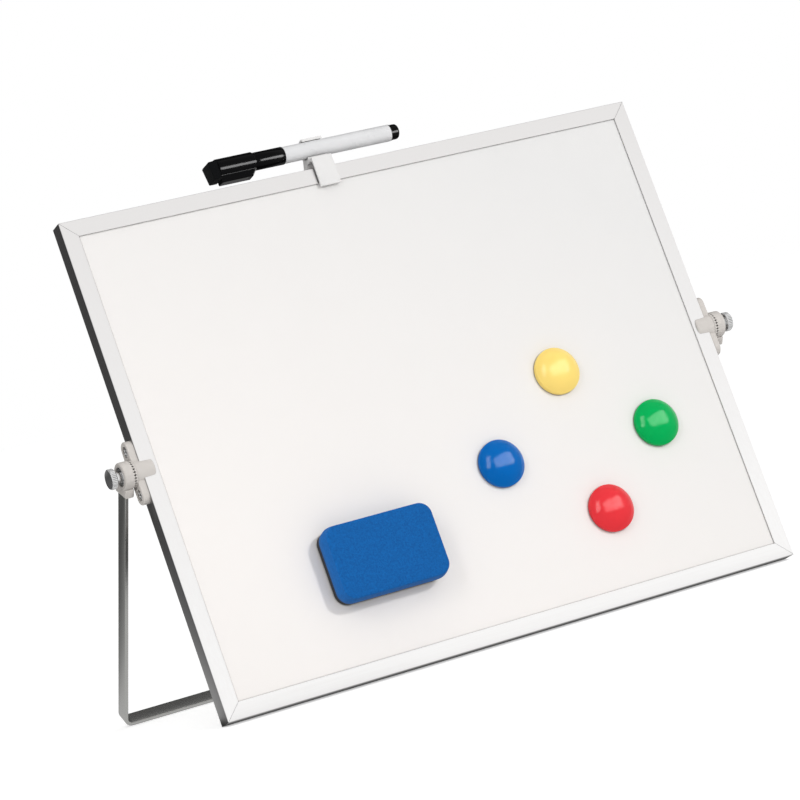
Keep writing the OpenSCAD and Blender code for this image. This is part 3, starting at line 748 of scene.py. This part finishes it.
def thumbscrew_shell(side):
    """A thumbscrew: screw, neck and a head whose side is cut by an even run of V grooves."""
    where = sided(board_spot, side, board_w / 2)
    low, high = extent(f"{SIDE_WORDS[side]}_thumbscrew", where)
    knob_out, knob_t, knob_r = high[0], 3.3, high[2]
    knob_in = knob_out - knob_t
    neck_in = knob_in - 3.4
    profile = [(POLE, 0.3), (1.5, 0.3), (2.0, 0.8)]
    threads = np.arange(1.2, neck_in - 0.4, 0.35)
    profile += [(2.0 if i % 2 else 1.82, a) for i, a in enumerate(threads)]
    profile += [(2.0, neck_in), (3.0, neck_in), (3.1, neck_in + 0.15), (3.1, knob_in - 0.2),
                (3.4, knob_in), (knob_r - 0.5, knob_in)]
    side_run = np.linspace(knob_in + 0.5, knob_out - 0.5, 7)
    profile += [(knob_r, a) for a in side_run]
    profile += [(knob_r - 0.5, knob_out), (knob_r - 0.8, knob_out - 0.12), (POLE, knob_out - 0.12)]

    def shape(r, along, turn):
        off = np.abs((turn * knurl_n / FULL_TURN) % 1 - 0.5) * 2
        groove = 0.32 * np.clip(1 - off / 0.62, 0, 1)
        on_side = (r > knob_r - 0.05) & (along > knob_in)
        return r - groove * on_side, along
    return turned(profile, where, knurl_n * 10, shape=shape)


def washer_shell(side):
    """A flat ring with soft rims, turned from its section."""
    where = sided(board_spot, side, board_w / 2)
    low, high = extent(f"{SIDE_WORDS[side]}_washer", where)
    ring = rounded([(screw_hole, low[0], 0.1), (high[2], low[0], 0.2), (high[2], high[0], 0.25),
                    (screw_hole, high[0], 0.1)])
    return turned(ring, where, looped=True)


for side, word in SIDE_WORDS.items():
    pivot = barrel_shells(side) + [ear_shell(side, end) for end in (-1, 1)]
    piece(f"{word}_pivot", pivot, hinge_plastic, "board", [f"{word}_pivot_body"])
    piece(f"{word}_knuckle_boss", knuckle_shells(side), hinge_plastic, "stand",
          [f"{word}_knuckle"])
    piece(f"{word}_thumbscrew_head", [thumbscrew_shell(side)], plated, f"{word}_thumbscrew_body",
          [f"{word}_thumbscrew"], crease=30)
    piece(f"{word}_washer_ring", [washer_shell(side)], plated, f"{word}_washer_body",
          [f"{word}_washer"])
plate_screws = [
    cross_head_shell(shifted(sided(board_spot, side, board_w / 2), (0, 0, end * screw_pitch / 2)))
    for side in (-1, 1) for end in (-1, 1)]
piece("cross_head_screws", plate_screws, plated, "board", ["pivot_screws"])


# Marker clip

marker_low, marker_high = extent("marker_barrel", board_spot)
marker_axis = (marker_low + marker_high) / 2 * [0, 1, 1]
marker_spot = shifted(board_spot, marker_axis)
marker_r = (marker_high[2] - marker_low[2]) / 2
clip_low, clip_high = extent("marker_clip", marker_spot)


def clip_outline():
    """The clip's section: a band before the rail, a C round the marker and a leg behind the rail."""
    inner, outer = marker_r + 0.3, marker_r + 1.8
    rail_top = board_top - marker_axis[2]
    front, back = clip_low[1], clip_high[1]
    wall, lip_fore = 1.5, 2.0
    top_of_band = rail_top + 5.8
    foot, heel = clip_low[2], rail_top - 8
    open_in, open_out = (math.degrees(math.acos(-lip_fore / r)) for r in (inner, outer))
    cradle = arc((0, 0), inner, -open_in, open_in, 30)
    over = arc((0, 0), outer, open_out, -38, 24)
    head = [(front, foot, 0.3), (front, top_of_band, 0.45), (-lip_fore, top_of_band, 0)]
    leg = [(back, rail_top + 3.4, 1.2), (back, heel, 0.5), (back - wall, heel, 0.4),
           (back - wall, rail_top + 0.15, 0.2), (4.6, rail_top + 0.15, 0.3), (1.8, top_of_band - wall, 0.6),
           (front + 2.5, top_of_band - wall, 0.8), (front + wall, top_of_band - wall - 1.2, 0.6),
           (front + wall, foot + 2.6, 0.2), (front + wall + 0.5, foot + 2.0, 0.3),
           (front + wall, foot + 1.4, 0.2), (front + wall, foot, 0.3)]
    runs = [(*p, 0) for run in (cradle, over) for p in run]
    return rounded(head + runs + leg)


piece("rail_clip", [slab(clip_outline(), clip_low[0], clip_high[0], 0.3, marker_spot, depth_and_height)],
      clip_plastic, "clip", ["marker_clip"])


# Marker

def marker_barrel_shell():
    """The white barrel: a tube turned from a closed outline of its wall."""
    start, end, r, bore = marker_low[0], marker_high[0], marker_r, 3.7
    wall = rounded([(r, start, 0.15), (r, end, 0.4), (bore, end, 0.1), (bore, start, 0.1)])
    return turned(wall, marker_spot, 128, looped=True)


def plug_shell():
    """The end plug: a stem in the barrel, a thin rim and a rounded button outside it."""
    low, high = extent("marker_plug", marker_spot)
    seat = marker_high[0]
    stem_r, rim_r, button_r, rim_t = 3.6, 4.6, 4.3, 0.5
    outline = rounded([(0.02, low[0], 0), (stem_r, low[0], 0.3), (stem_r, seat, 0), (rim_r, seat, 0.1),
                       (rim_r, seat + rim_t, 0.15), (button_r, seat + rim_t, 0.1),
                       (button_r, high[0], 1.7), (0.02, high[0], 0)], closed=False)
    return turned(outline, marker_spot, 96)


cap_low, cap_high = extent("marker_cap", marker_spot)
thick_r = cap_high[2]
round_r = 5.0
waist_x = marker_low[0] - 17.7
thick_in = waist_x - 0.8
keel_half = 3.2
keel_drop = -cap_low[2]
keel_slope = 3.6


def cap_shell():
    """The cap: rings of polar radius, the larger of a circle and a keel.

    The keel's radius is the distance to a flat-bottomed box below the axis. Its depth falls to
    nothing along a slope at its inner end. The rings go on round the mouth and down the bore.
    """
    steps = 192
    turn = np.arange(steps) * FULL_TURN / steps
    down = np.maximum(-np.sin(turn), 1e-6)
    aside = np.maximum(np.abs(np.cos(turn)), 1e-6)

    def ring(x, r, drop):
        """A ring at x: a circle, or the keel's box where that lies farther out."""
        keel = np.where(np.sin(turn) < 0, np.minimum(drop / down, keel_half / aside), 0)
        return polar_ring(x, np.maximum(np.full(steps, r), keel), turn)

    left, slope_x = cap_low[0], thick_in - keel_slope
    rings = [ring(left, POLE, 0), ring(left, thick_r - 0.5, keel_drop - 0.3),
             ring(left + 0.15, thick_r - 0.15, keel_drop - 0.1), ring(left + 0.5, thick_r, keel_drop)]
    rings += [ring(x, thick_r, keel_drop) for x in np.linspace(left + 2, slope_x, 5)]
    slope = np.linspace(0, 1, 7)[1:]
    rings += [ring(slope_x + s * (keel_slope - 0.4), thick_r, keel_drop - s * (keel_drop - 5.0))
              for s in slope]
    rings += [ring(thick_in - 0.3, thick_r - 0.1, 0), ring(thick_in, round_r - 0.3, 0),
              ring(waist_x, round_r - 0.3, 0), ring(waist_x + 0.3, round_r, 0),
              ring(cap_high[0] - 0.3, round_r, 0), ring(cap_high[0], round_r - 0.3, 0),
              ring(cap_high[0], 3.78, 0), ring(cap_high[0] - 3.9, 3.75, 0), ring(cap_high[0] - 9.9, 2.6, 0),
              ring(cap_high[0] - 19.4, 1.6, 0), ring(cap_high[0] - 19.4, POLE, 0)]
    return shell(placed(np.stack(rings), marker_spot))


def wiper_shell():
    """The felt block on the end of the cap: its side view carried across the marker."""
    low, high = extent("cap_wiper", marker_spot)
    left, right, bottom, top = low[0], high[0], low[2], high[2]
    outline = rounded([(right, bottom, 0.3), (right, top, 0.3), (left + 0.8, top - 0.4, 0.5),
                       (left, top - 1.2, 0.5), (left + 1.1, bottom, 0.6)])
    return slab(outline, low[1], high[1], 0.5, marker_spot, across_and_height, 5)


def polish_foot(obj, finish):
    """Gives the keel's flat foot its own finish: the faces that look straight down along the board."""
    mesh = obj.data
    mesh.materials.append(finish)
    normals = np.empty(len(mesh.polygons) * 3, np.float32)
    mesh.polygons.foreach_get("normal", normals)
    centres = np.empty(len(mesh.polygons) * 3, np.float32)
    mesh.polygons.foreach_get("center", centres)
    up = board_spot[1][2]
    foot = (marker_spot[0] @ up - keel_drop + 0.2) * MM
    flat = (normals.reshape(-1, 3) @ up < -0.95) & (centres.reshape(-1, 3) @ up < foot)
    mesh.polygons.foreach_set("material_index", flat.astype(np.int32))


piece("marker_tube", [marker_barrel_shell()], barrel_plastic, "marker",
      ["marker_barrel"])
piece("end_plug", [plug_shell()], black_plastic, "marker", ["marker_plug"])
cap = piece("keeled_cap", [cap_shell()], black_plastic, "cap", ["marker_cap"],
            crease=50)
polish_foot(cap, foot_plastic)
piece("wiper_pad", [wiper_shell()], wiper_felt, "cap", ["cap_wiper"])


# Eraser

def round_rect(width, height, radius, steps=16):
    """A rectangle about its middle with round corners."""
    w, h = width / 2, height / 2
    return rounded([(-w, -h, radius), (w, -h, radius), (w, h, radius), (-w, h, radius)], steps)


def eraser_shells(node, edge, crown, bulge):
    """A cushion-like block: rings of one rounded outline, shrunk evenly to the middle of each face.

    On the two faces the height swells by the crown times one minus the fourth power of the share of
    the way out, and the rim turns over on a quarter circle. The sides bulge by half a sine wave.
    """
    low, high = extent(node, board_spot)
    middle = (low + high) / 2
    outline = round_rect(high[0] - low[0], high[2] - low[2], 7.0)
    size = np.array([high[0] - low[0], high[2] - low[2]]) / 2
    shares = np.linspace(0.01, 1, 12)
    turn = np.linspace(0, math.pi / 2, 6)[1:]
    rings = []

    def ring(share, depth, inset=0.0):
        """The outline shrunk to a share of its size and drawn in by an inset, at a depth."""
        flat = outline * share * (1 - inset / size)
        across, height = flat[:, 0] + middle[0], flat[:, 1] + middle[2]
        return np.stack([across, np.full(len(flat), float(depth)), height], -1)

    for s in shares:
        rings.append(ring(s, low[1] + crown * s ** 4, edge))
    for a in turn:
        rings.append(ring(1, low[1] + crown + edge * (1 - math.cos(a)), edge * (1 - math.sin(a))))
    for s in np.linspace(0, 1, 9)[1:-1]:
        level = low[1] + crown + edge + s * (high[1] - 0.2 - low[1] - crown - edge)
        rings.append(ring(1, level, -bulge * math.sin(math.pi * s)))
    rings.append(ring(1, high[1] - 0.2))
    rings.append(ring(1, high[1], 0.2))
    rings.append(ring(0.01, high[1], 0.2))
    return [shell(placed(np.stack(rings), board_spot))]


foam_block = piece("foam_block", eraser_shells("eraser_foam", 0.9, 0.35, 0.7), blue_foam, "eraser",
                   ["eraser_foam"], crease=60)
piece("felt_pad", eraser_shells("eraser_felt", 0.25, 0.0, 0.0), black_felt, "eraser",
      ["eraser_felt"], crease=60)


# Magnets

def magnet_shell(node):
    """A domed cap turned from its section: pocket, foot, straight edge, a small step and a round dome."""
    low, high = extent(node, board_spot)
    middle = (low + high) / 2
    origin, axes = shifted(board_spot, (middle[0], high[1], middle[2]))
    where = origin, np.array([-axes[1], axes[0], axes[2]])
    rim, height, edge = (high[0] - low[0]) / 2, high[1] - low[1], 3.2
    dome_rim = rim - 0.5
    dome_r = (dome_rim ** 2 + (height - edge) ** 2) / (2 * (height - edge))
    reach = math.degrees(math.asin(dome_rim / dome_r))
    pocket_r, pocket_t = 9.05, 3.45
    foot = rounded([(POLE, pocket_t, 0), (pocket_r, pocket_t, 0), (pocket_r, 0, 0.1),
                    (rim - 0.2, 0, 0.2), (rim, 0.5, 0.4), (rim, edge - 0.5, 0.35),
                    (dome_rim + 0.05, edge - 0.05, 0)], closed=False)
    dome = arc((0, height - dome_r), dome_r, 90 - reach, 89.8, 40)
    return turned(np.concatenate([foot, dome]), where, 160)


for word, colour in magnet_colours.items():
    finish = plastic(f"{word}_gloss_moulding", colour, 0.12, 0.06, grain=0.002, mottle=0.03)
    piece(f"{word}_dome", [magnet_shell(f"{word}_magnet_cap")], finish, f"{word}_magnet",
          [f"{word}_magnet_cap"])


# CAD nodes that stay as they are

kept = {
    "front_writing_sheet": white_enamel, "rear_writing_sheet": white_enamel, "core_panel": fibreboard,
    "corner_keys": key_plastic, "threaded_inserts": brass, "ink_reservoir": ink_felt,
    "nib_holder": black_plastic, "marker_nib": ink_felt, "cap_magnet": ferrite,
    "eraser_magnet": magnet_sheet}
kept.update({f"{word}_magnet_disc": ferrite for word in magnet_colours})
for node, finish in kept.items():
    mesh = frame["nodes"][node].data
    mesh.materials.clear()
    mesh.materials.append(finish)


# Studio

scene = bpy.context.scene
scene.view_settings.view_transform = "Standard"


def linked(obj):
    """The object, once it is in the scene."""
    scene.collection.objects.link(obj)
    return obj


def camera_axes(azimuth, elevation, roll):
    """Right, up and back of a camera that stands at an azimuth and elevation, turned by a roll."""
    a, e, r = np.radians([azimuth, elevation, roll])
    back = np.array([math.sin(a) * math.cos(e), -math.cos(a) * math.cos(e), math.sin(e)])
    level = unit(np.cross(-back, Z))
    upright = np.cross(level, -back)
    right = math.cos(r) * level + math.sin(r) * upright
    return right, np.cross(back, right), back


def add_camera():
    """The photograph's camera, solved from the board's corners and so given along the board's axes."""
    right, up, back = np.array(camera_axes(-26.867, -10.685, -19.716)) @ board_spot[1]
    target, distance = placed((-18.18, 3.31, 3.57), board_spot), 1783.95
    data = bpy.data.cameras.new("camera")
    data.lens = 147.514
    data.sensor_width = 36
    data.clip_start, data.clip_end = 0.05, 50
    camera = linked(bpy.data.objects.new("camera", data))
    matrix = np.eye(4)
    matrix[:3, 0], matrix[:3, 1], matrix[:3, 2] = right, up, back
    matrix[:3, 3] = (target + back * distance) * MM
    camera.matrix_world = Matrix(matrix.tolist())
    scene.camera = camera


def direction(azimuth, elevation):
    """Unit vector towards the viewer's side: azimuth 0 is in front of the board, 90 to its right."""
    a, e = np.radians([azimuth, elevation])
    return np.array([math.sin(a) * math.cos(e), -math.cos(a) * math.cos(e), math.sin(e)])


def add_light(name, target, azimuth, elevation, distance, width, height, power):
    """A rectangular lamp aimed at a target, standing off from it at an azimuth and elevation."""
    data = bpy.data.lights.new(name, "AREA")
    data.shape = "RECTANGLE"
    data.size, data.size_y, data.energy = width * MM, height * MM, power
    lamp = linked(bpy.data.objects.new(name, data))
    back = direction(azimuth, elevation)
    right = unit(np.cross(Z, back))
    matrix = np.eye(4)
    matrix[:3, 0], matrix[:3, 1], matrix[:3, 2] = right, np.cross(back, right), back
    matrix[:3, 3] = (target + back * distance) * MM
    lamp.matrix_world = Matrix(matrix.tolist())
    lamp.visible_camera = False
    return lamp


def add_world(low, high):
    """White for what the camera and reflections see, and a soft sky for everything else.

    The sky's level rises evenly from below to above, a little towards the front.
    """
    world = bpy.data.worlds.new("studio")
    scene.world = world
    world.use_nodes = True
    tree = world.node_tree
    backdrop = tree.nodes["Background"]
    path = add_node(tree, "LightPath")
    seen = add_node(tree, "Math", {0: path.outputs["Is Camera Ray"], 1: path.outputs["Is Glossy Ray"]},
                    operation="ADD", use_clamp=True)
    also = add_node(tree, "Math", {0: seen.outputs[0], 1: path.outputs["Is Transmission Ray"]},
                    operation="ADD", use_clamp=True)
    towards = add_node(tree, "TexCoord").outputs["Generated"]
    upward = add_node(tree, "VectorMath", {0: towards, 1: tuple(unit((0.1, -0.4, 0.9)))},
                      operation="DOT_PRODUCT")
    sky = add_node(tree, "MapRange", {"Value": upward.outputs["Value"], "From Min": -1.0, "From Max": 1.0,
                                      "To Min": low, "To Max": high})
    strength = add_node(tree, "MapRange", {"Value": also.outputs[0], "To Min": sky.outputs["Result"],
                                           "To Max": 1.0})
    backdrop.inputs["Color"].default_value = (1, 1, 1, 1)
    tree.links.new(strength.outputs["Result"], backdrop.inputs["Strength"])


def ramp(tree, value, low, high, stops):
    """A level that follows a value from low to high through (value, level) stops."""
    share = add_node(tree, "MapRange", {"Value": value, "From Min": low, "From Max": high})
    node = add_node(tree, "ValToRGB", {0: share.outputs["Result"]})
    band = node.color_ramp
    band.elements.remove(band.elements[1])
    for i, (at, level) in enumerate(stops):
        stop = band.elements[0] if i == 0 else band.elements.new((at - low) / (high - low))
        stop.position = (at - low) / (high - low)
        stop.color = (level, level, level, 1)
    return node.outputs["Color"]


# Levels that reflections show: a painted glow over the floor's depth, dark under the board as a painted shadow,
# and up the dark screen, both in metres
floor_glow = [
    (-1.0, 1.1), (-0.2, 1.0), (-0.12, 0.8), (-0.062, 0.6), (-0.055, 0.06), (-0.03, 0.06), (-0.02, 0.55),
    (0.05, 0.6), (0.2, 0.5), (0.4, 0.3), (0.7, 0.2)]
screen_glow = [
    (0.0, 0.2), (0.02, 0.16), (0.055, 0.09), (0.08, 0.085), (0.12, 0.11), (0.22, 0.115), (0.4, 0.1)]


def staged(name, points, faces, material):
    """A surface of the studio, left out of the object."""
    mesh = bpy.data.meshes.new(name)
    mesh.from_pydata(np.asarray(points) * MM, [], faces)
    mesh.materials.append(material)
    obj = linked(bpy.data.objects.new(name, mesh))
    return obj


def add_floor(lift):
    """A pale floor that brightens to the white backdrop for the camera alone, and keeps its shadow.

    Reflections see a painted glow instead: a painted shadow under the board, bright at the crossbar, fading behind
    it.
    """
    material, tree, shader, place = start_finish("pale_floor", Roughness=0.9, Specular_IOR_Level=0.1)
    shader.inputs["Base Color"].default_value = paint(240, 240, 240)
    path = add_node(tree, "LightPath")
    glow = add_node(tree, "Math", {0: path.outputs["Is Camera Ray"], 1: lift}, operation="MULTIPLY")
    shader.inputs["Emission Color"].default_value = (1, 1, 1, 1)
    tree.links.new(glow.outputs[0], shader.inputs["Emission Strength"])
    depth = add_node(tree, "SeparateXYZ", {0: place}).outputs["Y"]
    level = ramp(tree, depth, -1.0, 1.0, floor_glow)
    seen = add_node(tree, "Emission", {"Strength": level})
    either = add_node(tree, "MixShader", {0: path.outputs["Is Glossy Ray"], 1: shader.outputs[0],
                                          2: seen.outputs[0]})
    tree.links.new(either.outputs[0], tree.nodes["Material Output"].inputs["Surface"])
    reach = 6000
    corners = [(-reach, -reach, 0), (reach, -reach, 0), (reach, reach, 0), (-reach, reach, 0)]
    staged("floor", corners, [(0, 1, 2, 3)], material)


def add_flag():
    """A dark screen behind and over the easel that only reflections show, paler towards the floor.

    It is a quarter of a round wall: straight up from the floor, then curved over towards the front.
    """
    material = bpy.data.materials.new("dark_screen")
    material.use_nodes = True
    tree = material.node_tree
    tree.nodes.clear()
    place = add_node(tree, "TexCoord").outputs["Object"]
    split = add_node(tree, "SeparateXYZ", {0: place})
    level = ramp(tree, split.outputs["Z"], 0.0, 0.4, screen_glow)
    glow = add_node(tree, "Emission", {"Strength": level})
    out = add_node(tree, "OutputMaterial")
    tree.links.new(glow.outputs[0], out.inputs["Surface"])
    turn = np.linspace(0, math.radians(100), 25)
    depth = np.concatenate([[700], 700 - 500 * (1 - np.cos(turn))])
    height = np.concatenate([[0], 500 + 500 * np.sin(turn)])
    across = np.linspace(-1500, 1500, 2)
    grid = np.array([[(x, y, z) for x in across] for y, z in zip(depth, height)])
    rows = len(depth)
    index = np.arange(rows * 2).reshape(rows, 2)
    faces = np.stack([index[:-1, 0], index[:-1, 1], index[1:, 1], index[1:, 0]], -1).tolist()
    screen = staged("dark_screen", grid.reshape(-1, 3), faces, material)
    screen.visible_camera = False
    screen.visible_diffuse = False
    screen.visible_shadow = False
    screen.visible_transmission = False


add_camera()
add_world(0.24, 0.82)
add_floor(0.42)
add_flag()
add_light("key", hinge_axis, 20.6, 23.6, 1500, 130, 130, 7.0).visible_glossy = False
add_light("left_fill", hinge_axis, -52, 30, 1400, 250, 900, 3.0).visible_glossy = False


def piece_light(name, receivers, gloss, *place):
    """A lamp for the pieces named alone: shown as a reflection, or else as soft light only."""
    lamp = add_light(name, *place)
    lamp.visible_diffuse = not gloss
    lamp.visible_glossy = gloss
    lit = bpy.data.collections.new(f"{name}_pieces")
    for receiver in receivers:
        lit.objects.link(bpy.data.objects[receiver])
    lamp.light_linking.receiver_collection = lit


domes = [f"{word}_dome" for word in magnet_colours]
cap_middle = placed((-60, 0, 0), marker_spot)
piece_light("right_window", domes, True, hinge_axis, 18, 24, 1500, 2600, 1265, 235.0)
piece_light("left_window", domes, True, hinge_axis, -52, 30, 1500, 420, 1270, 40.0)
piece_light("cap_strip", ("keeled_cap", "end_plug"), True, cap_middle, 26.7, -2.0, 600, 900, 230, 34.0)
piece_light("foam_fill", ("foam_block",), False, hinge_axis, -85, 15, 1000, 200, 200, 3.0)
